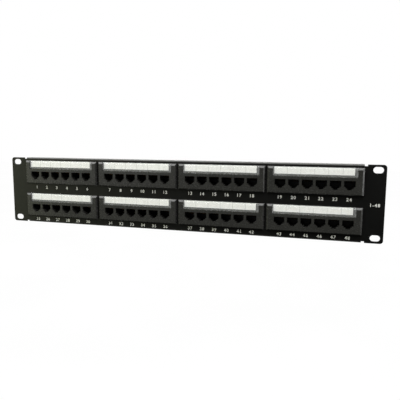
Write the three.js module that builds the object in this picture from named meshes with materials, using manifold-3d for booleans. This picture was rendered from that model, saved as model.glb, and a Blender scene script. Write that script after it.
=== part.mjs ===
// A 19 inch, two unit (2U) patch panel with 48 eight-way modular sockets, in millimetres.
//
// Frame: +X to the viewer's right, +Y into the rack, +Z up. The front faces -Y. The origin is the centre of
// the steel sheet's back face, the plane that seats on the rack rails.
//
// A folded steel front panel carries eight snap-in modules, in two rows of four. Each module is a moulded
// jack housing with six sockets, a contact insert, a circuit board, two punch-down strips, a paper label
// strip and the clear label window over it, which pulls straight out of the front on two pegs.
import * as THREE from "three";
import { mergeVertices } from "three/addons/utils/BufferGeometryUtils.js";
import Module from "manifold-3d";

// ---- Driving dimensions -------------------------------------------------------------------------

// Rack standard (EIA-310, two units)
const PANEL_WIDTH = 482.6;
const PANEL_HEIGHT = 88.1;
const RACK_HOLES_X = 465.1;
const RACK_HOLES_Z = 76.2;
const RACK_UNIT = 44.45;

// Steel front panel
const SHEET = 1.5;
const CORNER_RADIUS = 3.5;
const SLOT_LENGTH = 11;
const SLOT_HEIGHT = 7;
const FLANGE_HALF_LENGTH = 218;
const FLANGE_DEPTH = 14;
const BEND_RADIUS = 1.8;
const RELIEF_WIDTH = 3.4; // the notch between a flange and an ear, as deep as the bend

// Module layout
const MODULES_PER_ROW = 4;
const MODULE_PITCH = 109.8;
const UPPER_ROW_Z = 24.65;
const PORTS = 6;
const PORT_PITCH = 15.4;

// Jack housing
const BEZEL = { width: 107.4, height: 30.9, proud: 3, sideChamfer: 1.8, bottomChamfer: 0.95 };
const TOP_SLOPE = { height: 2.3, depth: 1.6 }; // along the top edge of a bezel and of its window
const BODY = { width: 103.4, height: 27.2, back: 13.3 };
const CUT_OUT_CLEARANCE = 0.3;
const SEAT_GAP = 0.05; // between faces that touch on the real part
const MOUTH = { width: 12.4, top: 0.8, bottom: -6.2 };
const LATCH_STEPS = [
  { width: 8.8, bottom: -8 },
  { width: 5, bottom: -9.9 },
];
const CARRIER_POCKET = { front: -1.5, bottom: 0.7, top: 3.9 };
const WALL_POCKET = { front: 10.6, bottom: -10.3 };
const PANEL_NIB = { width: 8, reach: 1.2, front: 0.3, back: 3.5 };
const BOARD_CLIP = { x: 38, width: 6, thickness: 1.2, bite: 0.8, nib: 1.3 };

// Label recess, label strip and window
const RECESS = { width: 94.4, bottom: 4.2, depth: 2.2 };
const LABEL = { width: 89, bottom: 6.9, top: 14.95, thickness: 0.4, offset: -1.1 };
const WINDOW = { width: 93.8, bottom: 4.5, top: 15.4, thickness: 1.5, chamfer: 1.1, lip: 0.5 };
const PEG = { x: 46.2, z: 9.4, width: 1, height: 4, back: -0.8, clearance: 0.15 };

// Contact insert
const INSERT = {
  width: 88.8,
  top: 3.6,
  bottom: -10,
  front: -1.2,
  barBottom: 1.25,
  wallFront: 10.9,
  back: 13,
};

// Circuit board and punch-down strips
const BOARD = { width: 102, height: 24.6, thickness: 1.6 };
const STRIP = { centre: 6.6, height: 8.5, base: 4, depth: 11, towerWidth: 13.9 };

// ---- Derived places -----------------------------------------------------------------------------

const PANEL_FRONT = -SHEET;
const BEZEL_FRONT = PANEL_FRONT - BEZEL.proud;
const BEZEL_BACK = PANEL_FRONT - SEAT_GAP;
const RECESS_FLOOR = BEZEL_FRONT + RECESS.depth;
const WINDOW_FRONT = BEZEL_FRONT + 0.1;
const BOARD_FRONT = BODY.back + 0.1;
const BOARD_BACK = BOARD_FRONT + BOARD.thickness;
const STRIP_FRONT = BOARD_BACK + SEAT_GAP;

// ---- Materials ----------------------------------------------------------------------------------

function material(color, roughness, metalness, extra = {}) {
  return new THREE.MeshStandardMaterial({ color, roughness, metalness, ...extra });
}

const MATERIALS = {
  powderCoat: material(0x1c1d1b, 0.55, 0.3),
  blackPlastic: material(0x2a2b29, 0.4, 0),
  label: material(0xf0f0ea, 0.8, 0),
  clear: material(0xf4f7f7, 0.08, 0, { transparent: true, opacity: 0.25 }),
  insertPlastic: material(0x1a1a19, 0.5, 0),
  board: material(0x1f5a38, 0.45, 0),
  ivoryPlastic: material(0xe9e6da, 0.5, 0),
};

// ---- Solids: three.js makes the shapes, manifold-3d joins and cuts them -------------------------

const wasm = await Module();
wasm.setup();

// A closed geometry as a solid that can be joined and cut.
function solid(geometry) {
  const bare = geometry.clone();
  bare.deleteAttribute("normal");
  bare.deleteAttribute("uv");
  const merged = mergeVertices(bare, 1e-4);
  return new wasm.Manifold(
    new wasm.Mesh({
      numProp: 3,
      vertProperties: merged.attributes.position.array,
      triVerts: new Uint32Array(merged.index.array),
    }),
  );
}

// A solid back as a geometry with flat faces.
function geometryOf(body) {
  const mesh = body.getMesh();
  const indexed = new THREE.BufferGeometry();
  indexed.setAttribute("position", new THREE.BufferAttribute(new Float32Array(mesh.vertProperties), 3));
  indexed.setIndex(new THREE.BufferAttribute(new Uint32Array(mesh.triVerts), 1));
  const flat = indexed.toNonIndexed();
  flat.computeVertexNormals();
  return flat;
}

// A block from its lowest to its highest corner.
function block([x0, y0, z0], [x1, y1, z1]) {
  const box = new THREE.BoxGeometry(x1 - x0, y1 - y0, z1 - z0);
  box.translate((x0 + x1) / 2, (y0 + y1) / 2, (z0 + z1) / 2);
  return solid(box);
}

function shapeOf(points) {
  return new THREE.Shape(points.map(([a, b]) => new THREE.Vector2(a, b)));
}

// A shape drawn in X and Z, extruded from y0 to y1.
function alongY(shape, y0, y1, curveSegments = 6) {
  const made = new THREE.ExtrudeGeometry(shape, { depth: y1 - y0, bevelEnabled: false, curveSegments });
  made.rotateX(Math.PI / 2);
  made.translate(0, y1, 0);
  return solid(made);
}

// A shape drawn in Y and Z, extruded from x0 to x1.
function alongX(shape, x0, x1, curveSegments = 5) {
  const made = new THREE.ExtrudeGeometry(shape, { depth: x1 - x0, bevelEnabled: false, curveSegments });
  const turn = new THREE.Matrix4().makeBasis(
    new THREE.Vector3(0, 1, 0),
    new THREE.Vector3(0, 0, 1),
    new THREE.Vector3(1, 0, 0),
  );
  made.applyMatrix4(turn);
  made.translate(x0, 0, 0);
  return solid(made);
}

// A shape drawn in X and Y, extruded from z0 to z1.
function alongZ(shape, z0, z1) {
  const made = new THREE.ExtrudeGeometry(shape, { depth: z1 - z0, bevelEnabled: false });
  made.translate(0, 0, z0);
  return solid(made);
}

const sides = [-1, 1];

// ---- Front panel --------------------------------------------------------------------------------

// The folded sheet's section in Y and Z: the face, and a flange at its top and bottom with rounded bends.
function channelSection() {
  const half = PANEL_HEIGHT / 2;
  const inner = BEND_RADIUS - SHEET;
  const bendY = PANEL_FRONT + BEND_RADIUS;
  const bendZ = half - BEND_RADIUS;
  const back = PANEL_FRONT + FLANGE_DEPTH;
  const section = new THREE.Shape();
  section.moveTo(back, -half);
  section.lineTo(back, -half + SHEET);
  section.lineTo(bendY, -half + SHEET);
  section.absarc(bendY, -bendZ, inner, -Math.PI / 2, Math.PI, true);
  section.lineTo(bendY - inner, bendZ);
  section.absarc(bendY, bendZ, inner, Math.PI, Math.PI / 2, true);
  section.lineTo(back, half - SHEET);
  section.lineTo(back, half);
  section.lineTo(bendY, half);
  section.absarc(bendY, bendZ, BEND_RADIUS, Math.PI / 2, Math.PI, false);
  section.lineTo(PANEL_FRONT, -bendZ);
  section.absarc(bendY, -bendZ, BEND_RADIUS, Math.PI, Math.PI * 1.5, false);
  return section;
}

// The right ear: full height outside the bend relief, with round outer corners and two slots.
function earShape() {
  const edge = PANEL_WIDTH / 2;
  const half = PANEL_HEIGHT / 2;
  const root = FLANGE_HALF_LENGTH + RELIEF_WIDTH;
  const bend = half - BEND_RADIUS;
  const ear = new THREE.Shape();
  ear.moveTo(FLANGE_HALF_LENGTH - 4, -bend);
  ear.lineTo(root, -bend);
  ear.lineTo(root, -half);
  ear.lineTo(edge - CORNER_RADIUS, -half);
  ear.absarc(edge - CORNER_RADIUS, -half + CORNER_RADIUS, CORNER_RADIUS, -Math.PI / 2, 0, false);
  ear.lineTo(edge, half - CORNER_RADIUS);
  ear.absarc(edge - CORNER_RADIUS, half - CORNER_RADIUS, CORNER_RADIUS, 0, Math.PI / 2, false);
  ear.lineTo(root, half);
  ear.lineTo(root, bend);
  ear.lineTo(FLANGE_HALF_LENGTH - 4, bend);
  for (const side of sides) {
    ear.holes.push(slotOutline(RACK_HOLES_X / 2, (side * RACK_HOLES_Z) / 2));
  }
  return ear;
}

// A rack slot with round ends, centred on x, z.
function slotOutline(x, z) {
  const radius = SLOT_HEIGHT / 2;
  const reach = SLOT_LENGTH / 2 - radius;
  const slot = new THREE.Path();
  slot.moveTo(x - reach, z - radius);
  slot.lineTo(x + reach, z - radius);
  slot.absarc(x + reach, z, radius, -Math.PI / 2, Math.PI / 2, false);
  slot.lineTo(x - reach, z + radius);
  slot.absarc(x - reach, z, radius, Math.PI / 2, Math.PI * 1.5, false);
  return slot;
}

function frontPanel() {
  let panel = alongX(channelSection(), -FLANGE_HALF_LENGTH, FLANGE_HALF_LENGTH);
  const right = alongY(earShape(), PANEL_FRONT, 0, 8);
  panel = panel.add(right).add(right.rotate([0, 0, 180]).translate([0, PANEL_FRONT, 0]));
  const halfWidth = BODY.width / 2 + CUT_OUT_CLEARANCE;
  const halfHeight = BODY.height / 2 + CUT_OUT_CLEARANCE;
  for (const { x, z } of modulePlaces()) {
    panel = panel.subtract(
      block([x - halfWidth, PANEL_FRONT - 1, z - halfHeight], [x + halfWidth, 1, z + halfHeight]),
    );
  }
  return geometryOf(panel);
}

// Module centres, numbered left to right along the upper row and then the lower row.
function modulePlaces() {
  const places = [];
  for (const z of [UPPER_ROW_Z, UPPER_ROW_Z - RACK_UNIT]) {
    for (let column = 0; column < MODULES_PER_ROW; column += 1) {
      const x = (column - (MODULES_PER_ROW - 1) / 2) * MODULE_PITCH;
      places.push({ number: places.length + 1, x, z });
    }
  }
  return places;
}

// ---- Jack housing -------------------------------------------------------------------------------

function portCentres() {
  return Array.from({ length: PORTS }, (_, port) => (port - (PORTS - 1) / 2) * PORT_PITCH);
}

// The bezel: a plate on the panel's front, chamfered round its front edges.
function bezelPlate() {
  const halfWidth = BEZEL.width / 2;
  const halfHeight = BEZEL.height / 2;
  const upright = shapeOf([
    [BEZEL_FRONT, -halfHeight + BEZEL.bottomChamfer],
    [BEZEL_FRONT + BEZEL.bottomChamfer, -halfHeight],
    [BEZEL_BACK, -halfHeight],
    [BEZEL_BACK, halfHeight],
    [BEZEL_FRONT + TOP_SLOPE.depth, halfHeight],
    [BEZEL_FRONT, halfHeight - TOP_SLOPE.height],
  ]);
  const level = shapeOf([
    [-halfWidth, BEZEL_BACK],
    [-halfWidth, BEZEL_FRONT + BEZEL.sideChamfer],
    [-halfWidth + BEZEL.sideChamfer, BEZEL_FRONT],
    [halfWidth - BEZEL.sideChamfer, BEZEL_FRONT],
    [halfWidth, BEZEL_FRONT + BEZEL.sideChamfer],
    [halfWidth, BEZEL_BACK],
  ]);
  const slab = alongX(upright, -halfWidth - 1, halfWidth + 1);
  return slab.intersect(alongZ(level, -halfHeight - 1, halfHeight + 1));
}

// A socket's outline: the plug's mouth, stepped in twice below for its latch.
function socketOutline(x) {
  const down = [
    [MOUTH.width / 2, MOUTH.top],
    [MOUTH.width / 2, MOUTH.bottom],
  ];
  let floor = MOUTH.bottom;
  for (const step of LATCH_STEPS) {
    down.push([step.width / 2, floor], [step.width / 2, step.bottom]);
    floor = step.bottom;
  }
  const right = down.map(([dx, z]) => [x + dx, z]);
  const left = down.map(([dx, z]) => [x - dx, z]).reverse();
  return shapeOf([...right, ...left]);
}

// The nib at each end that holds the module in its cut-out, behind the panel's sheet.
function panelNib(side) {
  const root = BODY.width / 2 - 1;
  const tip = BODY.width / 2 + PANEL_NIB.reach;
  const wedge = shapeOf(
    [
      [root, PANEL_NIB.front],
      [tip, PANEL_NIB.front],
      [root + 1, PANEL_NIB.back],
      [root, PANEL_NIB.back],
    ].map(([x, y]) => [side * x, y]),
  );
  return alongZ(wedge, -PANEL_NIB.width / 2, PANEL_NIB.width / 2);
}

// A clip that reaches past the circuit board's edge and hooks over its back.
function boardClip(x, side) {
  const outer = BODY.height / 2;
  const inner = outer - BOARD_CLIP.thickness;
  const tip = inner - BOARD_CLIP.bite;
  const hookFront = BOARD_BACK + 0.1;
  const hookBack = hookFront + BOARD_CLIP.nib;
  const hook = shapeOf(
    [
      [BODY.back - 1, inner],
      [hookFront, inner],
      [hookFront, tip],
      [hookBack, inner],
      [hookBack, outer],
      [BODY.back - 1, outer],
    ].map(([y, z]) => [y, side * z]),
  );
  return alongX(hook, x - BOARD_CLIP.width / 2, x + BOARD_CLIP.width / 2);
}

function jackHousing() {
  const halfWidth = BODY.width / 2;
  const halfHeight = BODY.height / 2;
  let housing = bezelPlate();
  const bodyLow = [-halfWidth, BEZEL_BACK - 1, -halfHeight];
  housing = housing.add(block(bodyLow, [halfWidth, BODY.back, halfHeight]));
  for (const side of sides) {
    const x = side * BOARD_CLIP.x;
    housing = housing.add(panelNib(side)).add(boardClip(x, 1)).add(boardClip(x, -1));
  }
  for (const x of portCentres()) {
    housing = housing.subtract(alongY(socketOutline(x), BEZEL_FRONT - 1, BODY.back + 1));
  }
  const reach = portCentres()[PORTS - 1] + MOUTH.width / 2;
  for (const pocket of [CARRIER_POCKET, WALL_POCKET]) {
    housing = housing.subtract(
      block([-reach, pocket.front, pocket.bottom], [reach, BODY.back + 1, CARRIER_POCKET.top]),
    );
  }
  housing = housing.subtract(
    block(
      [-RECESS.width / 2, BEZEL_FRONT - 1, RECESS.bottom],
      [RECESS.width / 2, RECESS_FLOOR, BEZEL.height / 2 + 1],
    ),
  );
  for (const side of sides) {
    housing = housing.subtract(pegHole(side));
  }
  return geometryOf(housing);
}

function pegHole(side) {
  const x = side * PEG.x;
  const halfWidth = PEG.width / 2 + PEG.clearance;
  const halfHeight = PEG.height / 2 + PEG.clearance;
  return block(
    [x - halfWidth, RECESS_FLOOR - 0.5, PEG.z - halfHeight],
    [x + halfWidth, PEG.back + 0.4, PEG.z + halfHeight],
  );
}

// ---- Label strip and window ---------------------------------------------------------------------

function labelStrip() {
  const back = RECESS_FLOOR - SEAT_GAP;
  const strip = block(
    [LABEL.offset - LABEL.width / 2, back - LABEL.thickness, LABEL.bottom],
    [LABEL.offset + LABEL.width / 2, back, LABEL.top],
  );
  return geometryOf(strip);
}

// The clear window: a plate chamfered round its front, with a lip over the label strip's top edge and a peg
// near each end. Its top slope carries on the bezel's.
function labelWindow() {
  const halfWidth = WINDOW.width / 2;
  const back = WINDOW_FRONT + WINDOW.thickness;
  const edge = WINDOW_FRONT + WINDOW.chamfer;
  const upright = shapeOf([
    [WINDOW_FRONT, WINDOW.bottom + WINDOW.chamfer],
    [edge, WINDOW.bottom],
    [back, WINDOW.bottom],
    [back, WINDOW.top - WINDOW.lip + 0.1],
    [back + WINDOW.lip, WINDOW.top - WINDOW.lip + 0.1],
    [back + WINDOW.lip, WINDOW.top],
    [WINDOW_FRONT + TOP_SLOPE.depth, WINDOW.top],
    [WINDOW_FRONT, WINDOW.top - TOP_SLOPE.height],
  ]);
  const level = shapeOf([
    [-halfWidth, back + 1],
    [-halfWidth, edge],
    [-halfWidth + WINDOW.chamfer, WINDOW_FRONT],
    [halfWidth - WINDOW.chamfer, WINDOW_FRONT],
    [halfWidth, edge],
    [halfWidth, back + 1],
  ]);
  let pane = alongX(upright, -halfWidth - 1, halfWidth + 1);
  pane = pane.intersect(alongZ(level, WINDOW.bottom - 1, WINDOW.top + 1));
  for (const x of sides.map((side) => side * PEG.x)) {
    pane = pane.add(
      block(
        [x - PEG.width / 2, back - 0.5, PEG.z - PEG.height / 2],
        [x + PEG.width / 2, PEG.back, PEG.z + PEG.height / 2],
      ),
    );
  }
  return geometryOf(pane);
}

// ---- Contact insert -----------------------------------------------------------------------------

// A bar along the top of the six sockets, which holds their spring wires, and the wall that closes their
// backs.
function contactInsert() {
  const section = shapeOf([
    [INSERT.front, INSERT.barBottom],
    [INSERT.wallFront, INSERT.barBottom],
    [INSERT.wallFront, INSERT.bottom],
    [INSERT.back, INSERT.bottom],
    [INSERT.back, INSERT.top],
    [INSERT.front, INSERT.top],
  ]);
  return geometryOf(alongX(section, -INSERT.width / 2, INSERT.width / 2));
}

// ---- Circuit board and punch-down strips --------------------------------------------------------

function circuitBoard() {
  const board = block(
    [-BOARD.width / 2, BOARD_FRONT, -BOARD.height / 2],
    [BOARD.width / 2, BOARD_BACK, BOARD.height / 2],
  );
  return geometryOf(board);
}

// One row of insulation-displacement towers on a base; side is 1 for the upper row and -1 for the lower.
function punchDownStrip(side) {
  const back = STRIP_FRONT + STRIP.depth;
  const valley = STRIP_FRONT + STRIP.base;
  const outline = [];
  for (const x of portCentres()) {
    const left = x - STRIP.towerWidth / 2;
    const right = x + STRIP.towerWidth / 2;
    outline.push([left, valley], [left, back], [right, back], [right, valley]);
  }
  outline[0][1] = STRIP_FRONT;
  outline[outline.length - 1][1] = STRIP_FRONT;
  const centre = side * STRIP.centre;
  return geometryOf(alongZ(shapeOf(outline), centre - STRIP.height / 2, centre + STRIP.height / 2));
}

// ---- Assembly -----------------------------------------------------------------------------------

function mesh(name, geometry, look) {
  const made = new THREE.Mesh(geometry, look);
  made.name = name;
  return made;
}

const MODULE_PARTS = [
  ["jack_housing", jackHousing(), MATERIALS.blackPlastic],
  ["contact_insert", contactInsert(), MATERIALS.insertPlastic],
  ["circuit_board", circuitBoard(), MATERIALS.board],
  ["upper_punch_down_strip", punchDownStrip(1), MATERIALS.ivoryPlastic],
  ["lower_punch_down_strip", punchDownStrip(-1), MATERIALS.ivoryPlastic],
  ["label_strip", labelStrip(), MATERIALS.label],
  ["label_window", labelWindow(), MATERIALS.clear],
];

const patchPanel = new THREE.Group();
patchPanel.add(mesh("front_panel", frontPanel(), MATERIALS.powderCoat));
for (const { number, x, z } of modulePlaces()) {
  const module = new THREE.Group();
  module.position.set(x, 0, z);
  for (const [name, geometry, look] of MODULE_PARTS) {
    module.add(mesh(`${name}_${number}`, geometry, look));
  }
  patchPanel.add(module);
}

export default patchPanel;
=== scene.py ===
"""A two-unit patch panel with 48 modular sockets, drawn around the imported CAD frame, in metres.

The panel's front faces -Y. Each piece of its eight modules is drawn once, about the module's own centre,
and then placed eight times from the CAD boxes.
"""

import math

import bmesh
import bpy
from mathutils import Matrix, Vector


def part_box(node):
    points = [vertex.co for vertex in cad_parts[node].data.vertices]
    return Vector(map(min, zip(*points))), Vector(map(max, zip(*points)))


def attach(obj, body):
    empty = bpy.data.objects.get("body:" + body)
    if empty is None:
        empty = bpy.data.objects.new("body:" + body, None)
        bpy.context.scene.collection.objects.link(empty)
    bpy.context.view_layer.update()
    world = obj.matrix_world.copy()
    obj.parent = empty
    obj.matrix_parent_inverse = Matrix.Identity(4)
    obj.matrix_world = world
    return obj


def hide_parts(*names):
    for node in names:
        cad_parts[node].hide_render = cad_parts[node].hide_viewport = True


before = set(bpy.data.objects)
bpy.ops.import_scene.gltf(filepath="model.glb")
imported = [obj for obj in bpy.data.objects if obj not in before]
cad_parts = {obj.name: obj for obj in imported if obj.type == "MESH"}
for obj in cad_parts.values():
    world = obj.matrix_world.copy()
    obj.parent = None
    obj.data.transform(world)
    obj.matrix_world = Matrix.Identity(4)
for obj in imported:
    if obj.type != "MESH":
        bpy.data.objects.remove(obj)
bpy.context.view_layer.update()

MM = 0.001
MODULES = 8
PORTS = 6
PORT_PITCH = 15.4 * MM
PORT_X = [(port - (PORTS - 1) / 2) * PORT_PITCH for port in range(PORTS)]
SIDES = (-1, 1)
OVERCUT = MM  # how far a cutting solid runs past the faces that it cuts


# ---- The CAD frame's places ----------------------------------------------------------------------


def module_origin(number):
    """The centre of a module's bezel, on the plane of the steel's back face."""
    low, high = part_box(f"jack_housing_{number}")
    return Vector(((low[0] + high[0]) / 2, 0, (low[2] + high[2]) / 2))


def module_box(name):
    """A module piece's CAD box about the first module's centre."""
    low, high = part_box(f"{name}_1")
    origin = module_origin(1)
    return Vector(low) - origin, Vector(high) - origin


HOUSING_LOW, HOUSING_HIGH = module_box("jack_housing")
INSERT_LOW, INSERT_HIGH = module_box("contact_insert")
BOARD_LOW, BOARD_HIGH = module_box("circuit_board")
LABEL_LOW, LABEL_HIGH = module_box("label_strip")
WINDOW_LOW, WINDOW_HIGH = module_box("label_window")
UPPER_LOW, UPPER_HIGH = module_box("upper_punch_down_strip")
LOWER_LOW, LOWER_HIGH = module_box("lower_punch_down_strip")
PANEL_LOW, PANEL_HIGH = (Vector(corner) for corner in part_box("front_panel"))


# ---- Mesh tools ----------------------------------------------------------------------------------


def arc(centre_a, centre_b, radius, start, end, steps):
    """Points of an arc in a section's plane, from start to end in degrees."""
    angles = [math.radians(start + (end - start) * step / steps) for step in range(steps + 1)]
    return [(centre_a + radius * math.cos(t), centre_b + radius * math.sin(t)) for t in angles]


def place_point(axis, a, b, along):
    """A section's point in space: the section lies in the other two axes' plane, in X, Y, Z order."""
    if axis == "X":
        return (along, a, b)
    if axis == "Y":
        return (a, along, b)
    return (a, b, along)


def new_object(name, mesh):
    obj = bpy.data.objects.new(name, mesh)
    bpy.context.scene.collection.objects.link(obj)
    return obj


def finish_bmesh(name, bm):
    """A bmesh as an object, with its normals outwards."""
    bmesh.ops.recalc_face_normals(bm, faces=bm.faces)
    mesh = bpy.data.meshes.new(name)
    bm.to_mesh(mesh)
    bm.free()
    return new_object(name, mesh)


def add_loft(bm, rings):
    """A closed solid through rings of matching points, capped at both ends."""
    made = [[bm.verts.new(point) for point in ring] for ring in rings]
    count = len(made[0])
    for near, far in zip(made, made[1:]):
        for i in range(count):
            j = (i + 1) % count
            bm.faces.new((near[i], near[j], far[j], far[i]))
    bm.faces.new(made[0])
    bm.faces.new(made[-1])


def add_prism(bm, axis, outline, low, high):
    add_loft(bm, [[place_point(axis, a, b, along) for a, b in outline] for along in (low, high)])


def add_box(bm, low, high):
    outline = [(low[0], low[2]), (high[0], low[2]), (high[0], high[2]), (low[0], high[2])]
    add_prism(bm, "Y", outline, low[1], high[1])


def prism(name, axis, outline, low, high):
    bm = bmesh.new()
    add_prism(bm, axis, outline, low, high)
    return finish_bmesh(name, bm)


def boxes(name, corners):
    bm = bmesh.new()
    for low, high in corners:
        add_box(bm, low, high)
    return finish_bmesh(name, bm)


def applied(obj):
    """Applies an object's modifiers to its mesh."""
    bpy.context.view_layer.update()
    evaluated = obj.evaluated_get(bpy.context.evaluated_depsgraph_get())
    mesh = bpy.data.meshes.new_from_object(evaluated)
    old = obj.data
    obj.modifiers.clear()
    obj.data = mesh
    bpy.data.meshes.remove(old)
    return obj


def remove_with_mesh(obj):
    mesh = obj.data
    bpy.data.objects.remove(obj)
    bpy.data.meshes.remove(mesh)


def combine(obj, tool, operation, overlapping=False):
    """Joins or cuts an object with a tool, which is used up."""
    modifier = obj.modifiers.new("combine", "BOOLEAN")
    modifier.operation = operation
    modifier.solver = "EXACT"
    modifier.use_self = overlapping
    modifier.object = tool
    applied(obj)
    remove_with_mesh(tool)
    return obj


def rounded(obj, width, segments=2, angle=40):
    """Rounds the edges sharper than an angle, and shades the faces smooth but the flat ones flat."""
    bevel = obj.modifiers.new("edges", "BEVEL")
    bevel.width = width
    bevel.segments = segments
    bevel.limit_method = "ANGLE"
    bevel.angle_limit = math.radians(angle)
    bevel.use_clamp_overlap = True
    bevel.miter_outer = "MITER_ARC"
    return smooth(applied(obj), angle)


def smooth(obj, angle=40):
    obj.data.shade_smooth()
    obj.data.set_sharp_from_angle(angle=math.radians(angle))
    modifier = obj.modifiers.new("normals", "WEIGHTED_NORMAL")
    modifier.keep_sharp = True
    return applied(obj)


def one_mesh(name, objects):
    """Several objects as one, with their places in its mesh."""
    bm = bmesh.new()
    for obj in objects:
        obj.data.transform(obj.matrix_world)
        bm.from_mesh(obj.data)
        remove_with_mesh(obj)
    mesh = bpy.data.meshes.new(name)
    bm.to_mesh(mesh)
    bm.free()
    return new_object(name, mesh)


# ---- Material tools ------------------------------------------------------------------------------


class Look:
    """A node material under construction: a Principled shader and short calls that feed it."""

    def __init__(self, name):
        self.material = bpy.data.materials.new(name)
        self.material.use_nodes = True
        self.nodes = self.material.node_tree.nodes
        self.links = self.material.node_tree.links
        self.shader = self.nodes["Principled BSDF"]
        self.coordinates = self.nodes.new("ShaderNodeTexCoord").outputs
        self.place = self.coordinates["Object"]

    def set(self, **values):
        for socket, value in values.items():
            self.shader.inputs[socket.replace("_", " ")].default_value = value
        return self

    def feed(self, output, socket):
        self.links.new(output, self.shader.inputs[socket])

    def stretched(self, scale):
        node = self.nodes.new("ShaderNodeMapping")
        node.inputs["Scale"].default_value = scale
        self.links.new(self.place, node.inputs["Vector"])
        return node.outputs["Vector"]

    def noise(self, scale, detail=3.0, roughness=0.55, place=None):
        node = self.nodes.new("ShaderNodeTexNoise")
        node.inputs["Scale"].default_value = scale
        node.inputs["Detail"].default_value = detail
        node.inputs["Roughness"].default_value = roughness
        self.links.new(place or self.place, node.inputs["Vector"])
        return node.outputs["Fac"]

    def cells(self, scale, feature="F1", place=None):
        node = self.nodes.new("ShaderNodeTexVoronoi")
        node.feature = feature
        node.inputs["Scale"].default_value = scale
        self.links.new(place or self.place, node.inputs["Vector"])
        return node.outputs["Distance"]

    def spread(self, value, low, high, to_low, to_high):
        node = self.nodes.new("ShaderNodeMapRange")
        ends = {"From Min": low, "From Max": high, "To Min": to_low, "To Max": to_high}
        for socket, number in ends.items():
            node.inputs[socket].default_value = number
        self.links.new(value, node.inputs["Value"])
        return node.outputs["Result"]

    def math(self, operation, *values):
        node = self.nodes.new("ShaderNodeMath")
        node.operation = operation
        for socket, value in zip(node.inputs, values):
            if isinstance(value, (int, float)):
                socket.default_value = value
            else:
                self.links.new(value, socket)
        return node.outputs["Value"]

    def mix(self, factor, first, second):
        node = self.nodes.new("ShaderNodeMix")
        node.data_type = "RGBA"
        self.links.new(factor, node.inputs["Factor"])
        for socket, value in (("A", first), ("B", second)):
            target = next(s for s in node.inputs if s.name == socket and s.type == "RGBA")
            if isinstance(value, tuple):
                target.default_value = (*value, 1)
            else:
                self.links.new(value, target)
        return next(s for s in node.outputs if s.type == "RGBA")

    def axes(self, coordinate="Object"):
        node = self.nodes.new("ShaderNodeSeparateXYZ")
        self.links.new(self.coordinates[coordinate], node.inputs["Vector"])
        return node.outputs

    def bump(self, height, distance, strength=1.0, after=None):
        node = self.nodes.new("ShaderNodeBump")
        node.inputs["Distance"].default_value = distance
        node.inputs["Strength"].default_value = strength
        self.links.new(height, node.inputs["Height"])
        if after:
            self.links.new(after, node.inputs["Normal"])
        return node.outputs["Normal"]


def powder_coat():
    """A fine black texture, with a painted grey highlight round the bends and the upper and lower edges,
    fading towards the back.
    """
    look = Look("powder_coat").set(Specular_IOR_Level=0.25)
    patches = look.spread(look.noise(35, 4), 0.35, 0.65, 0, 1)
    coat = look.mix(patches, (0.0018, 0.0018, 0.0016), (0.0026, 0.0026, 0.0023))
    # Painted highlight: faces turned up or down near the front are coloured grey where light would shine
    # on the bends.
    turned = look.spread(look.math("ABSOLUTE", look.axes("Normal")["Z"]), 0.02, 0.3, 0, 1)
    front = PANEL_LOW.y
    near_bend = look.spread(look.axes()["Y"], front + 2 * MM, front + 9 * MM, 1, 0.15)
    painted_bend_highlight = look.mix(look.noise(220, 4), (0.045, 0.045, 0.042), (0.065, 0.065, 0.061))
    bend_highlight_mask = look.math("MULTIPLY", turned, near_bend)
    look.feed(look.mix(bend_highlight_mask, coat, painted_bend_highlight), "Base Color")
    look.feed(look.spread(look.noise(900, 2), 0.3, 0.7, 0.38, 0.5), "Roughness")
    peel = look.bump(look.noise(1500, 3), 0.05 * MM, 0.5)
    look.feed(look.bump(look.cells(3200), 0.02 * MM, 0.4, after=peel), "Normal")
    return look.material


def black_plastic(name="black_plastic", tone=1.0):
    """Satin moulded plastic with a fine grain. A tone below 1 is darker."""
    look = Look(name).set(Specular_IOR_Level=0.4)
    dark = tuple(tone * c for c in (0.025, 0.025, 0.023))
    light = tuple(tone * c for c in (0.03, 0.03, 0.0276))
    patches = look.spread(look.noise(120, 5), 0.35, 0.65, 0, 1)
    look.feed(look.mix(patches, dark, light), "Base Color")
    look.feed(look.spread(look.noise(420, 4), 0.3, 0.7, 0.22, 0.3), "Roughness")
    look.feed(look.bump(look.noise(4500, 2), 0.02 * MM, 0.2), "Normal")
    return look.material


def label_paper():
    """White paper with a faint rule between the six ports' fields."""
    look = Look("label_paper").set(Specular_IOR_Level=0.3)
    phase = look.math("WRAP", look.axes()["X"], PORT_PITCH / 2, -PORT_PITCH / 2)
    rule = look.spread(look.math("ABSOLUTE", phase), 0.12 * MM, 0.2 * MM, 1, 0)
    fibres = look.noise(900, 5, 0.7, look.stretched((1, 1, 3)))
    shade = look.spread(fibres, 0.3, 0.7, 0, 1)
    paper = look.mix(shade, (0.86, 0.86, 0.835), (0.88, 0.88, 0.855))
    look.feed(look.mix(rule, paper, (0.42, 0.42, 0.41)), "Base Color")
    look.feed(look.spread(fibres, 0.3, 0.7, 0.7, 0.85), "Roughness")
    look.feed(look.bump(fibres, 0.01 * MM, 0.4), "Normal")
    return look.material


def clear_plastic(name, alpha, tint):
    look = Look(name).set(Specular_IOR_Level=0.5)
    wisps = look.noise(160, 4)
    look.feed(look.mix(wisps, tint, tuple(0.94 * c for c in tint)), "Base Color")
    look.feed(look.spread(wisps, 0.3, 0.7, 0.04, 0.1), "Roughness")
    look.feed(look.spread(wisps, 0.3, 0.7, 0.8 * alpha, 1.2 * alpha), "Alpha")
    look.feed(look.bump(look.noise(220, 2), 0.04 * MM, 0.4), "Normal")
    return look.material


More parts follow.
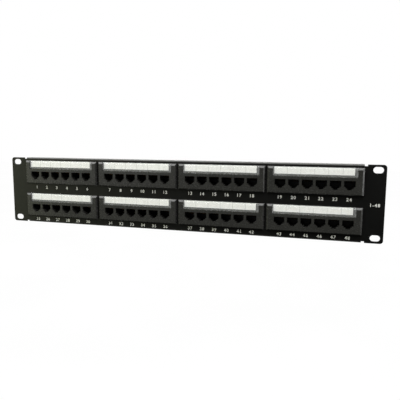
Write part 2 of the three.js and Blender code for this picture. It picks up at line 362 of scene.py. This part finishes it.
def circuit_board():
    """Green solder mask, lighter over the copper and darker in the gaps between the copper areas."""
    look = Look("circuit_board").set(Specular_IOR_Level=0.6, Coat_Weight=0.3, Coat_Roughness=0.15)
    gaps = look.cells(420, "DISTANCE_TO_EDGE", look.stretched((1, 1, 0.35)))
    copper = look.spread(gaps, 0.12, 0.16, 0, 1)
    look.feed(look.mix(copper, (0.012, 0.085, 0.04), (0.02, 0.14, 0.065)), "Base Color")
    look.feed(look.spread(look.noise(700, 3), 0.3, 0.7, 0.25, 0.4), "Roughness")
    look.feed(look.bump(copper, 0.04 * MM, 0.6), "Normal")
    return look.material


def ivory_plastic():
    look = Look("ivory_plastic").set(Specular_IOR_Level=0.5)
    patches = look.spread(look.noise(90, 4), 0.3, 0.7, 0, 1)
    look.feed(look.mix(patches, (0.74, 0.71, 0.62), (0.8, 0.775, 0.69)), "Base Color")
    look.feed(look.spread(look.noise(600, 3), 0.3, 0.7, 0.3, 0.45), "Roughness")
    look.feed(look.bump(look.noise(3000, 2), 0.02 * MM, 0.4), "Normal")
    return look.material


def metal(name, dark, light, low, high):
    """A bare metal, tarnished between two colours, with its roughness from low to high."""
    look = Look(name).set(Metallic=1.0)
    tarnish = look.spread(look.noise(800, 4), 0.3, 0.7, 0, 1)
    look.feed(look.mix(tarnish, dark, light), "Base Color")
    look.feed(look.spread(look.noise(2600, 3), 0.3, 0.7, low, high), "Roughness")
    drawn = look.noise(5000, 2, place=look.stretched((1, 0.15, 1)))
    look.feed(look.bump(drawn, 0.01 * MM, 0.4), "Normal")
    return look.material


def white_ink():
    look = Look("white_ink").set(Specular_IOR_Level=0.4)
    cover = look.spread(look.noise(2500, 4), 0.35, 0.6, 0, 1)
    look.feed(look.mix(cover, (0.6, 0.6, 0.57), (0.8, 0.8, 0.77)), "Base Color")
    look.feed(look.spread(cover, 0, 1, 0.6, 0.5), "Roughness")
    look.feed(look.bump(look.noise(4000, 2), 0.01 * MM, 0.5), "Normal")
    return look.material


LOOKS = {
    "powder_coat": powder_coat(),
    "black_plastic": black_plastic(),
    "insert_plastic": black_plastic("insert_plastic", 0.6),
    "label_paper": label_paper(),
    "clear_plastic": clear_plastic("clear_plastic", 0.1, (0.9, 0.92, 0.92)),
    # The window chamfers' material: paler and less clear than the face, a painted reflection.
    "painted_edge_reflection": clear_plastic("painted_edge_reflection", 0.3, (0.8, 0.81, 0.8)),
    "circuit_board": circuit_board(),
    "punch_down_plastic": ivory_plastic(),
    "contact_metal": metal("contact_metal", (0.78, 0.52, 0.2), (0.9, 0.66, 0.32), 0.2, 0.34),
    "solder": metal("solder", (0.55, 0.55, 0.54), (0.74, 0.74, 0.73), 0.25, 0.45),
    "white_ink": white_ink(),
}


# ---- Front panel ---------------------------------------------------------------------------------

SHEET = 1.5 * MM
BEND_RADIUS = 1.8 * MM
BEND_Z = PANEL_HIGH.z - BEND_RADIUS
CORNER_RADIUS = 3.5 * MM
FLANGE_HALF_LENGTH = 218 * MM
RELIEF_WIDTH = 3.4 * MM
RACK_HOLE_X = 465.1 * MM / 2
RACK_HOLE_Z = 76.2 * MM / 2
SLOT_LENGTH = 11 * MM
SLOT_HEIGHT = 7 * MM
CUT_OUT_CLEARANCE = 0.3 * MM
BODY_HALF_X = 51.7 * MM
BODY_HALF_Z = 13.6 * MM
CUT_REACH = 10 * MM  # past both faces of the sheet


def flange_outline(side):
    """The bend and flange above or below the flat sheet, as a section in Y and Z."""
    bend_y = PANEL_LOW.y + BEND_RADIUS
    outside = arc(bend_y, BEND_Z, BEND_RADIUS, 180, 90, 10)
    inside = arc(bend_y, BEND_Z, BEND_RADIUS - SHEET, 90, 180, 5)
    lip = [(PANEL_HIGH.y, PANEL_HIGH.z), (PANEL_HIGH.y, PANEL_HIGH.z - SHEET)]
    return [(y, side * z) for y, z in outside + lip + inside]


def sheet_outline():
    """The flat sheet in X and Z, anticlockwise: up to the bends, and at full height at the ears."""
    root = FLANGE_HALF_LENGTH + RELIEF_WIDTH
    corner_x = PANEL_HIGH.x - CORNER_RADIUS
    corner_z = PANEL_HIGH.z - CORNER_RADIUS
    right = [(FLANGE_HALF_LENGTH, -BEND_Z), (root, -BEND_Z), (root, -PANEL_HIGH.z)]
    right += arc(corner_x, -corner_z, CORNER_RADIUS, -90, 0, 10)
    right += arc(corner_x, corner_z, CORNER_RADIUS, 0, 90, 10)
    right += [(root, PANEL_HIGH.z), (root, BEND_Z), (FLANGE_HALF_LENGTH, BEND_Z)]
    return right + [(-x, -z) for x, z in right]


def slot_outline(x, z):
    radius = SLOT_HEIGHT / 2
    reach = SLOT_LENGTH / 2 - radius
    return arc(x + reach, z, radius, -90, 90, 16) + arc(x - reach, z, radius, 90, 270, 16)


def folded_sheet():
    """The sheet and its two flanges, joined along the bends."""
    bm = bmesh.new()
    add_prism(bm, "Y", sheet_outline(), PANEL_LOW.y, 0)
    for side in SIDES:
        outline = flange_outline(side)
        add_prism(bm, "X", outline, -FLANGE_HALF_LENGTH, FLANGE_HALF_LENGTH)
    reach = FLANGE_HALF_LENGTH + SHEET

    def on_bend(vert):
        return abs(abs(vert.co.z) - BEND_Z) < 1e-7 and abs(vert.co.x) < reach

    joints = [face for face in bm.faces if all(on_bend(vert) for vert in face.verts)]
    bmesh.ops.delete(bm, geom=joints, context="FACES_ONLY")
    bmesh.ops.remove_doubles(bm, verts=bm.verts, dist=1e-6)
    return finish_bmesh("steel_front", bm)


def make_front_panel():
    panel = folded_sheet()
    cuts = bmesh.new()
    for number in range(1, MODULES + 1):
        centre = module_origin(number)
        half_x = BODY_HALF_X + CUT_OUT_CLEARANCE
        half_z = BODY_HALF_Z + CUT_OUT_CLEARANCE
        reach = Vector((half_x, CUT_REACH, half_z))
        add_box(cuts, centre - reach, centre + reach)
    for side_x in SIDES:
        for side_z in SIDES:
            outline = slot_outline(side_x * RACK_HOLE_X, side_z * RACK_HOLE_Z)
            add_prism(cuts, "Y", outline, -CUT_REACH, CUT_REACH)
    combine(panel, finish_bmesh("cuts", cuts), "DIFFERENCE")
    return rounded(panel, 0.18 * MM, 2, 50)


# ---- Jack housing --------------------------------------------------------------------------------

FACE_Y = HOUSING_LOW.y
BEZEL_BACK = -SHEET - 0.05 * MM
BODY_BACK = 13.3 * MM
SLOPE_HEIGHT = 2.3 * MM
SLOPE_DEPTH = 1.6 * MM
SIDE_CHAMFER = 1.8 * MM
BOTTOM_CHAMFER = 0.95 * MM
MOUTH_HALF = 6.2 * MM
MOUTH_TOP = 0.8 * MM
MOUTH_BOTTOM = -6.2 * MM
LATCH_STEPS = ((4.4 * MM, -8 * MM), (2.5 * MM, -9.9 * MM))  # each step's half width and floor
CARRIER_POCKET_FRONT = -1.5 * MM
POCKET_TOP = 3.9 * MM
POCKET_LAP = 0.1 * MM  # how far the pocket reaches below the mouths' tops
WALL_POCKET_FRONT = 10.6 * MM
WALL_POCKET_BOTTOM = -10.3 * MM
RECESS_HALF = 47.2 * MM
RECESS_BOTTOM = 4.2 * MM
RECESS_DEPTH = 2.2 * MM
PEG_X = 46.2 * MM
PEG_Z = 9.4 * MM
PEG_HALF_X = 0.5 * MM
PEG_HALF_Z = 2 * MM
PEG_CLEARANCE = 0.15 * MM
PEG_HOLE_BACK = -0.4 * MM
NIB_HALF = 4 * MM
NIB_REACH = 1.2 * MM
NIB_FRONT = 0.3 * MM
NIB_BACK = 3.5 * MM
CLIP_X = 38 * MM
CLIP_HALF = 3 * MM
CLIP_THICKNESS = 1.2 * MM
CLIP_BITE = 0.8 * MM
CLIP_GAP = 0.1 * MM


def socket_outline(x):
    """A socket's mouth, anticlockwise, with the two steps for a plug's latch below."""
    left = [(-MOUTH_HALF, MOUTH_TOP), (-MOUTH_HALF, MOUTH_BOTTOM)]
    floor = MOUTH_BOTTOM
    for half, bottom in LATCH_STEPS:
        left += [(-half, floor), (-half, bottom)]
        floor = bottom
    right = [(-a, b) for a, b in reversed(left)]
    return [(x + a, b) for a, b in left + right]


def bezel():
    high = HOUSING_HIGH
    upright = [
        (FACE_Y, high.z - SLOPE_HEIGHT),
        (FACE_Y, -high.z + BOTTOM_CHAMFER),
        (FACE_Y + BOTTOM_CHAMFER, -high.z),
        (BEZEL_BACK, -high.z),
        (BEZEL_BACK, high.z),
        (FACE_Y + SLOPE_DEPTH, high.z),
    ]
    level = [
        (-high.x, BEZEL_BACK),
        (-high.x, FACE_Y + SIDE_CHAMFER),
        (-high.x + SIDE_CHAMFER, FACE_Y),
        (high.x - SIDE_CHAMFER, FACE_Y),
        (high.x, FACE_Y + SIDE_CHAMFER),
        (high.x, BEZEL_BACK),
    ]
    slab = prism("housing", "X", upright, -high.x - OVERCUT, high.x + OVERCUT)
    sides = prism("level", "Z", level, -high.z - OVERCUT, high.z + OVERCUT)
    return combine(slab, sides, "INTERSECT")


def snap_nib(bm, side):
    """A wedge on one end of the body, which snaps behind the steel."""
    root = BODY_HALF_X - MM
    tip = BODY_HALF_X + NIB_REACH
    points = [(root, NIB_FRONT), (tip, NIB_FRONT), (root + MM, NIB_BACK), (root, NIB_BACK)]
    add_prism(bm, "Z", [(side * x, y) for x, y in points], -NIB_HALF, NIB_HALF)


def board_clip(bm, x, side):
    """A hook over the circuit board's upper or lower edge."""
    inner = BODY_HALF_Z - CLIP_THICKNESS
    hook = BOARD_HIGH.y + CLIP_GAP
    points = [
        (BODY_BACK - MM, inner),
        (hook, inner),
        (hook, inner - CLIP_BITE),
        (HOUSING_HIGH.y, inner),
        (HOUSING_HIGH.y, BODY_HALF_Z),
        (BODY_BACK - MM, BODY_HALF_Z),
    ]
    add_prism(bm, "X", [(y, side * z) for y, z in points], x - CLIP_HALF, x + CLIP_HALF)


def socket_cuts():
    bm = bmesh.new()
    for x in PORT_X:
        add_prism(bm, "Y", socket_outline(x), FACE_Y - OVERCUT, BODY_BACK + OVERCUT)
    return finish_bmesh("sockets", bm)


def recess_cuts():
    """The label's recess, open at the top, and the two holes in its floor for the window's pegs."""
    bm = bmesh.new()
    floor = FACE_Y + RECESS_DEPTH
    low = (-RECESS_HALF, FACE_Y - OVERCUT, RECESS_BOTTOM)
    add_box(bm, low, (RECESS_HALF, floor, HOUSING_HIGH.z + OVERCUT))
    half_x = PEG_HALF_X + PEG_CLEARANCE
    half_z = PEG_HALF_Z + PEG_CLEARANCE
    for side in SIDES:
        x = side * PEG_X
        low = (x - half_x, floor - OVERCUT, PEG_Z - half_z)
        add_box(bm, low, (x + half_x, PEG_HOLE_BACK, PEG_Z + half_z))
    return finish_bmesh("recess", bm)


def pocket_cuts():
    """The space behind the face for the contact insert: its bar above, its wall at the back."""
    bottom = MOUTH_TOP - POCKET_LAP
    outline = [
        (CARRIER_POCKET_FRONT, bottom),
        (WALL_POCKET_FRONT, bottom),
        (WALL_POCKET_FRONT, WALL_POCKET_BOTTOM),
        (BODY_BACK + OVERCUT, WALL_POCKET_BOTTOM),
        (BODY_BACK + OVERCUT, POCKET_TOP),
        (CARRIER_POCKET_FRONT, POCKET_TOP),
    ]
    reach = PORT_X[-1] + MOUTH_HALF
    return prism("pocket", "X", outline, -reach, reach)


def make_housing():
    housing = bezel()
    low = (-BODY_HALF_X, BEZEL_BACK - MM, -BODY_HALF_Z)
    body = boxes("body", [(low, (BODY_HALF_X, BODY_BACK, BODY_HALF_Z))])
    combine(housing, body, "UNION")
    grips = bmesh.new()
    for side in SIDES:
        snap_nib(grips, side)
        board_clip(grips, side * CLIP_X, 1)
        board_clip(grips, side * CLIP_X, -1)
    combine(housing, finish_bmesh("grips", grips), "UNION")
    combine(housing, socket_cuts(), "DIFFERENCE")
    combine(housing, pocket_cuts(), "DIFFERENCE")
    combine(housing, recess_cuts(), "DIFFERENCE", overlapping=True)
    return rounded(housing, 0.16 * MM, 2, 25)


# ---- Contact insert and spring wires -------------------------------------------------------------

WIRES = 8
WIRE_PITCH = 1.02 * MM
WIRE_WIDTH = 0.42 * MM
WIRE_THICKNESS = 0.34 * MM
WIRE_X = [(wire - (WIRES - 1) / 2) * WIRE_PITCH for wire in range(WIRES)]
WIRE_ROOT = 1.6 * MM  # from the wall's front
WIRE_TURN_RADIUS = 0.32 * MM
WIRE_TURN_INSET = 0.75 * MM  # from the bar's front
WIRE_TURN_RISE = 0.2 * MM  # above the bar's underside
WIRE_SLOPE = math.degrees(math.atan2(4.1, 9.6))
WIRE_RUN = 9.3 * MM
WIRE_TAIL_RUN = 0.7 * MM
WIRE_TAIL_RISE = 0.25 * MM
BAR_BOTTOM = 1.25 * MM
WALL_FRONT = 10.9 * MM
COMB_SLOT_WIDTH = 0.56 * MM
COMB_SLOT_DEPTH = 0.75 * MM
COMB_END = 1.5 * MM  # from the wall's front


def make_contact_insert():
    """The bar and back wall, with a slot for every spring wire along the bar's underside and front."""
    section = [
        (INSERT_LOW.y, BAR_BOTTOM),
        (WALL_FRONT, BAR_BOTTOM),
        (WALL_FRONT, INSERT_LOW.z),
        (INSERT_HIGH.y, INSERT_LOW.z),
        (INSERT_HIGH.y, INSERT_HIGH.z),
        (INSERT_LOW.y, INSERT_HIGH.z),
    ]
    insert = prism("insert", "X", section, INSERT_LOW.x, INSERT_HIGH.x)
    slots = bmesh.new()
    half = COMB_SLOT_WIDTH / 2
    for port_x in PORT_X:
        for wire_x in WIRE_X:
            x = port_x + wire_x
            low = (x - half, INSERT_LOW.y - OVERCUT, BAR_BOTTOM - OVERCUT)
            add_box(slots, low, (x + half, WALL_FRONT - COMB_END, BAR_BOTTOM + COMB_SLOT_DEPTH))
    combine(insert, finish_bmesh("comb", slots), "DIFFERENCE")
    return smooth(insert)


def wire_path():
    """A spring wire's centre line in Y and Z: forwards in the bar, round its edge, down the socket."""
    turn_y = INSERT_LOW.y + WIRE_TURN_INSET
    turn_z = BAR_BOTTOM + WIRE_TURN_RISE
    root = (WALL_FRONT - WIRE_ROOT, turn_z + WIRE_TURN_RADIUS)
    bend = arc(turn_y, turn_z, WIRE_TURN_RADIUS, 90, 270 - WIRE_SLOPE, 7)
    end_y, end_z = bend[-1]
    knee = (end_y + WIRE_RUN, end_z - WIRE_RUN * math.tan(math.radians(WIRE_SLOPE)))
    tail = (knee[0] + WIRE_TAIL_RUN, knee[1] + WIRE_TAIL_RISE)
    return [root, *bend, knee, tail]


def strip_outline(path, thickness):
    """The two sides of a bent strip about its centre line, as one closed outline."""
    left, right = [], []
    for i, point in enumerate(path):
        before = Vector(path[max(i - 1, 0)])
        after = Vector(path[min(i + 1, len(path) - 1)])
        along = (after - before).normalized()
        across = Vector((-along.y, along.x)) * thickness / 2
        left.append(tuple(Vector(point) + across))
        right.append(tuple(Vector(point) - across))
    return left + right[::-1]


def make_spring_wires():
    outline = strip_outline(wire_path(), WIRE_THICKNESS)
    bm = bmesh.new()
    for port_x in PORT_X:
        for wire_x in WIRE_X:
            x = port_x + wire_x
            add_prism(bm, "X", outline, x - WIRE_WIDTH / 2, x + WIRE_WIDTH / 2)
    return smooth(finish_bmesh("wires", bm), 30)


# ---- Label strip and window ----------------------------------------------------------------------

WINDOW_THICKNESS = 1.5 * MM
WINDOW_CHAMFER = 1.1 * MM
WINDOW_LIP = 0.5 * MM
LIP_GAP = 0.1 * MM


def make_label():
    label = boxes("label", [(LABEL_LOW, LABEL_HIGH)])
    return rounded(label, 0.05 * MM, 1)


def window_pane(back):
    """The plate, chamfered round its front, with the bezel's slope and a lip along its upper edge."""
    low, high = WINDOW_LOW, WINDOW_HIGH
    edge = low.y + WINDOW_CHAMFER
    lip_z = high.z - WINDOW_LIP + LIP_GAP
    upright = [
        (low.y, high.z - SLOPE_HEIGHT),
        (low.y, low.z + WINDOW_CHAMFER),
        (edge, low.z),
        (back, low.z),
        (back, lip_z),
        (back + WINDOW_LIP, lip_z),
        (back + WINDOW_LIP, high.z),
        (low.y + SLOPE_DEPTH, high.z),
    ]
    level = [
        (low.x, back + OVERCUT),
        (low.x, edge),
        (low.x + WINDOW_CHAMFER, low.y),
        (high.x - WINDOW_CHAMFER, low.y),
        (high.x, edge),
        (high.x, back + OVERCUT),
    ]
    pane = prism("window", "X", upright, low.x - OVERCUT, high.x + OVERCUT)
    sides = prism("level", "Z", level, low.z - OVERCUT, high.z + OVERCUT)
    return combine(pane, sides, "INTERSECT")


def make_window():
    """The clear window and its pegs, with its chamfered border in a paler, less clear material, a painted
    reflection of the surroundings.
    """
    back = WINDOW_LOW.y + WINDOW_THICKNESS
    pane = window_pane(back)
    half = Vector((PEG_HALF_X, 0, PEG_HALF_Z))
    root = Vector((0, back - MM / 2, 0))
    tip = Vector((0, WINDOW_HIGH.y, 0))
    pegs = []
    for side in SIDES:
        centre = Vector((side * PEG_X, 0, PEG_Z))
        pegs.append((centre - half + root, centre + half + tip))
    combine(pane, boxes("pegs", pegs), "UNION")
    rounded(pane, 0.12 * MM, 2, 25)
    pane.data.materials.append(LOOKS["clear_plastic"])
    # The chamfers get the second, paler material, a painted reflection.
    pane.data.materials.append(LOOKS["painted_edge_reflection"])
    for face in pane.data.polygons:
        normal = face.normal
        front = normal.y < -0.5 and normal.z > -0.1 and abs(normal.x) < 0.1
        behind = normal.y > 0.98 and abs(face.center.y - back) < 0.2 * MM
        face.material_index = 0 if front or behind else 1
    return pane


# ---- Circuit board and punch-down strips ---------------------------------------------------------

BOARD_CORNER = 1.2 * MM
STRIP_BASE = 4 * MM
TOWER_HALF = 6.95 * MM
TOWER_SLOTS = 4
SLOT_PITCH = 3.3 * MM
TOWER_SLOT_X = [(slot - (TOWER_SLOTS - 1) / 2) * SLOT_PITCH for slot in range(TOWER_SLOTS)]
WIRE_SLOT_WIDTH = 0.7 * MM
WIRE_SLOT_DEPTH = 5.6 * MM
TOOTH_POINT = 1.1 * MM
TOOTH_TIP = 0.35 * MM
FORK_INNER = 0.1 * MM
FORK_OUTER = 0.34 * MM
FORK_HALF_HEIGHT = 1.6 * MM
FORK_FOOT_GAP = 0.1 * MM
FORK_TOP = 1.6 * MM  # below the towers' tips, on a fork's outer side
FORK_THROAT = 2.3 * MM  # and on its inner side
WIRE_JOINT_ROW = 0.95 * MM  # either side of the board's middle
WIRE_JOINT_FAN = 1.3  # the joints' pitch over the wires' pitch
WIRE_JOINT_RADIUS = 0.5 * MM
WIRE_JOINT_HEIGHT = 0.8 * MM
CORNER_JOINT_X = 47 * MM
CORNER_JOINT_Z = 8 * MM
CORNER_JOINT_RADIUS = 0.9 * MM
CORNER_JOINT_HEIGHT = 0.5 * MM


def make_board():
    x = BOARD_HIGH.x - BOARD_CORNER
    z = BOARD_HIGH.z - BOARD_CORNER
    outline = arc(x, z, BOARD_CORNER, 0, 90, 5) + arc(-x, z, BOARD_CORNER, 90, 180, 5)
    outline += arc(-x, -z, BOARD_CORNER, 180, 270, 5) + arc(x, -z, BOARD_CORNER, 270, 360, 5)
    return rounded(prism("board", "Y", outline, BOARD_LOW.y, BOARD_HIGH.y), 0.08 * MM, 1)


def tooth(left, right, tip_y):
    """The points of one tooth of a tower, from its right side to its left."""
    middle = (left + right) / 2
    tip = min(TOOTH_TIP, (right - left) / 4)
    shoulder = tip_y - TOOTH_POINT
    return [(right, shoulder), (middle + tip, tip_y), (middle - tip, tip_y), (left, shoulder)]


def make_strip(low, high):
    """A row of six towers, each with four wire slots between pointed teeth."""
    valley = low.y + STRIP_BASE
    foot = high.y - WIRE_SLOT_DEPTH
    outline = []
    for port_x in reversed(PORT_X):
        right = port_x + TOWER_HALF
        outline.append((right, valley))
        for slot_x in reversed(TOWER_SLOT_X):
            left = port_x + slot_x + WIRE_SLOT_WIDTH / 2
            outline += tooth(left, right, high.y)
            right = left - WIRE_SLOT_WIDTH
            outline += [(left, foot), (right, foot)]
        left = port_x - TOWER_HALF
        outline += tooth(left, right, high.y)
        outline.append((left, valley))
    outline[0] = (outline[0][0], low.y)
    outline[-1] = (outline[-1][0], low.y)
    return rounded(prism("strip", "Z", outline, low.z, high.z), 0.12 * MM, 1, 25)


def make_forks():
    """The metal fork in every wire slot of both strips."""
    bm = bmesh.new()
    for low, high in ((UPPER_LOW, UPPER_HIGH), (LOWER_LOW, LOWER_HIGH)):
        centre_z = (low.z + high.z) / 2
        foot = high.y - WIRE_SLOT_DEPTH + FORK_FOOT_GAP
        blade = [
            (FORK_INNER, foot),
            (FORK_OUTER, foot),
            (FORK_OUTER, high.y - FORK_TOP),
            (FORK_INNER, high.y - FORK_THROAT),
        ]
        for port_x in PORT_X:
            for slot_x in TOWER_SLOT_X:
                for side in SIDES:
                    outline = [(port_x + slot_x + side * x, y) for x, y in blade]
                    low_z, high_z = centre_z - FORK_HALF_HEIGHT, centre_z + FORK_HALF_HEIGHT
                    add_prism(bm, "Z", outline, low_z, high_z)
    return smooth(finish_bmesh("forks", bm))


def add_solder_joint(bm, x, z, radius, height, segments=8):
    """A small cone of solder round a pin, on the board's back."""
    y = BOARD_HIGH.y
    profile = ((1, 0), (0.75, 0.35), (0.35, 0.75), (0.2, 1))
    circle = [2 * math.pi * step / segments for step in range(segments)]
    rings = []
    for across, up in profile:
        r = radius * across
        rings.append([(x + r * math.cos(t), y + height * up, z + r * math.sin(t)) for t in circle])
    add_loft(bm, rings)


def make_solder():
    """Two staggered rows of joints for the sockets' wires, and a larger joint near each corner."""
    bm = bmesh.new()
    for port_x in PORT_X:
        for wire, wire_x in enumerate(WIRE_X):
            x = port_x + wire_x * WIRE_JOINT_FAN
            z = WIRE_JOINT_ROW if wire % 2 else -WIRE_JOINT_ROW
            add_solder_joint(bm, x, z, WIRE_JOINT_RADIUS, WIRE_JOINT_HEIGHT)
    for x in (-CORNER_JOINT_X, CORNER_JOINT_X):
        for z in (-CORNER_JOINT_Z, CORNER_JOINT_Z):
            add_solder_joint(bm, x, z, CORNER_JOINT_RADIUS, CORNER_JOINT_HEIGHT, 12)
    return smooth(finish_bmesh("solder", bm), 60)


# ---- Printing ------------------------------------------------------------------------------------

DIGIT_HEIGHT = 3.95 * MM
DIGIT_WEIGHT = 0.02
DIGIT_SPACING = 1.2
INK = 0.02 * MM
NUMBER_DROP = {"upper": 20.45 * MM, "lower": 19.7 * MM}
EAR_MARK_X = 231 * MM
EAR_MARK_Z = -1 * MM


def printed(text, height, x, z):
    """Printed text centred on x, z of the steel's face."""
    curve = bpy.data.curves.new("print", "FONT")
    curve.body = text
    curve.extrude = INK / 2
    curve.offset = DIGIT_WEIGHT
    curve.resolution_u = 3
    curve.space_character = DIGIT_SPACING
    source = new_object("print", curve)
    bpy.context.view_layer.update()
    evaluated = source.evaluated_get(bpy.context.evaluated_depsgraph_get())
    mesh = bpy.data.meshes.new_from_object(evaluated)
    bpy.data.objects.remove(source)
    bpy.data.curves.remove(curve)
    xs = [v.co.x for v in mesh.vertices]
    ys = [v.co.y for v in mesh.vertices]
    scale = height / (max(ys) - min(ys))
    centre = Vector(((max(xs) + min(xs)) / 2, (max(ys) + min(ys)) / 2, 0))
    sized = Matrix.Diagonal((scale, scale, 1, 1))
    upright = Matrix.Rotation(math.radians(90), 4, "X")
    place = Matrix.Translation((x, PANEL_LOW.y - INK / 2, z))
    mesh.transform(place @ upright @ sized @ Matrix.Translation(-centre))
    return new_object("print", mesh)


def make_port_numbers():
    numbers = []
    for module in range(MODULES):
        centre = module_origin(module + 1)
        z = centre.z - NUMBER_DROP["upper" if centre.z > 0 else "lower"]
        for port, port_x in enumerate(PORT_X):
            text = str(module * PORTS + port + 1)
            numbers.append(printed(text, DIGIT_HEIGHT, centre.x + port_x, z))
    return one_mesh("port_numbers", numbers)


def make_ear_mark():
    mark = printed(f"1-{MODULES * PORTS}", DIGIT_HEIGHT, EAR_MARK_X, EAR_MARK_Z)
    return one_mesh("ear_range_mark", [mark])


# ---- Assembly ------------------------------------------------------------------------------------


def dress(obj, slot, body="panel", look=None):
    """Gives a piece its material, unless it has one, and its body. The material is the look's, or else the
    slot's.
    """
    if not obj.data.materials:
        obj.data.materials.append(LOOKS[look or slot])
    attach(obj, body)


panel = make_front_panel()
panel.name = "steel_front"
dress(panel, "powder_coat")
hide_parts("front_panel")
dress(make_port_numbers(), "white_ink")
dress(make_ear_mark(), "white_ink")

# Each module piece: its name here, the CAD node that it stands for, its slot, its look and its first copy.
MODULE_PIECES = (
    ("housing_shell", "jack_housing", "black_plastic", "black_plastic", make_housing()),
    ("contact_comb", "contact_insert", "insert_plastic", "insert_plastic", make_contact_insert()),
    ("spring_wires", None, "contact_metal", "contact_metal", make_spring_wires()),
    ("paper_label", "label_strip", "label_paper", "label_paper", make_label()),
    ("clear_window", "label_window", "clear_plastic", "clear_plastic", make_window()),
    ("green_board", "circuit_board", "circuit_board", "circuit_board", make_board()),
    ("solder_joints", None, "contact_metal", "solder", make_solder()),
    (
        "upper_strip",
        "upper_punch_down_strip",
        "punch_down_plastic",
        "punch_down_plastic",
        make_strip(UPPER_LOW, UPPER_HIGH),
    ),
    (
        "lower_strip",
        "lower_punch_down_strip",
        "punch_down_plastic",
        "punch_down_plastic",
        make_strip(LOWER_LOW, LOWER_HIGH),
    ),
    ("wire_forks", None, "contact_metal", "solder", make_forks()),
)

for name, node, slot, look, first in MODULE_PIECES:
    for number in range(1, MODULES + 1):
        piece = first if number == 1 else new_object("copy", first.data)
        piece.name = f"{name}_{number}"
        piece.location = module_origin(number)
        bpy.context.view_layer.update()
        dress(piece, slot, f"label_window_{number}" if node == "label_window" else "panel", look)
        if node:
            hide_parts(f"{node}_{number}")


# ---- Stage, light and camera ---------------------------------------------------------------------

FLOOR_DROP = 0.3
FLOOR_HALF = 6
AMBIENT = 0.05


def stage_material():
    look = Look("studio_white")
    look.set(Roughness=0.9, Specular_IOR_Level=0.0, Emission_Strength=1.0)
    cloud = look.noise(3, 2)
    look.feed(look.mix(cloud, (0.0, 0.0, 0.0), (0.01, 0.01, 0.01)), "Base Color")
    look.feed(look.mix(cloud, (0.98, 0.98, 0.98), (1.0, 1.0, 1.0)), "Emission Color")
    return look.material


def make_stage():
    """A floor below the panel. It is there for the camera only, so it throws no light up at the panel."""
    bm = bmesh.new()
    half = FLOOR_HALF
    corners = ((-half, -half), (half, -half), (half, half), (-half, half))
    bm.faces.new([bm.verts.new((x, y, PANEL_LOW.z - FLOOR_DROP)) for x, y in corners])
    stage = finish_bmesh("studio_floor", bm)
    stage.data.materials.append(stage_material())
    stage.visible_diffuse = False
    stage.visible_glossy = False
    stage.visible_transmission = False


def soft_light(name, place, target, size, radiance, colour=(1, 1, 1)):
    """A rectangular soft box, by the radiance of its face."""
    lamp = bpy.data.lights.new(name, "AREA")
    lamp.shape = "RECTANGLE"
    lamp.size, lamp.size_y = size
    lamp.energy = radiance * math.pi * size[0] * size[1]
    lamp.color = colour
    obj = new_object(name, lamp)
    obj.location = place
    aim = Vector(target) - Vector(place)
    obj.rotation_euler = aim.to_track_quat("-Z", "Y").to_euler()


def make_world():
    """White behind the panel for the camera, and a faint even light for everything else."""
    world = bpy.data.worlds.new("studio")
    bpy.context.scene.world = world
    world.use_nodes = True
    nodes = world.node_tree.nodes
    path = nodes.new("ShaderNodeLightPath")
    strength = nodes.new("ShaderNodeMapRange")
    strength.inputs["To Min"].default_value = AMBIENT
    strength.inputs["To Max"].default_value = 1
    world.node_tree.links.new(path.outputs["Is Camera Ray"], strength.inputs["Value"])
    background = nodes["Background"]
    background.inputs["Color"].default_value = (1, 1, 1, 1)
    world.node_tree.links.new(strength.outputs["Result"], background.inputs["Strength"])


def make_lights():
    soft_light("top_light", (-0.15, -0.55, 1.6), (-0.15, 0, 0), (3.2, 1.7), 5.9)
    warm_white = (0.95, 1, 0.66)
    soft_light("left_light", (-1.6, -0.75, 0.1), (-0.1, 0, 0), (1.2, 1.4), 2.8, warm_white)
    soft_light("right_light", (1.7, -0.12, 0.4), (0, 0, 0), (0.5, 1.2), 5.5)
    soft_light("front_light", (-1.35, -2.2, 0.15), (-0.1, 0, 0), (1.1, 0.8), 0.7)
    soft_light("back_light", (-0.4, 1.6, 0.7), (0, 0, 0), (2.0, 1.2), 3)


LENS = 41.66
SENSOR = 36
CAMERA_FROM = Vector((0.1882, -0.5423, 0.0720))
CAMERA_TO = Vector((0.0290, -0.0015, -0.0037))
CAMERA_ROLL = math.radians(0.35)


def make_camera():
    lens = bpy.data.cameras.new("camera")
    lens.lens = LENS
    lens.sensor_width = SENSOR
    lens.sensor_fit = "HORIZONTAL"
    lens.clip_start = 0.01
    camera = new_object("camera", lens)
    ahead = (CAMERA_TO - CAMERA_FROM).normalized()
    right = ahead.cross(Vector((0, 0, 1))).normalized()
    up = right.cross(ahead)
    rolled_right = right * math.cos(CAMERA_ROLL) + up * math.sin(CAMERA_ROLL)
    rolled_up = up * math.cos(CAMERA_ROLL) - right * math.sin(CAMERA_ROLL)
    axes = Matrix((rolled_right, rolled_up, -ahead)).transposed().to_4x4()
    camera.matrix_world = Matrix.Translation(CAMERA_FROM) @ axes
    bpy.context.scene.camera = camera


make_stage()
make_lights()
make_world()
make_camera()
bpy.context.scene.view_settings.view_transform = "Standard"

bpy.context.view_layer.update()
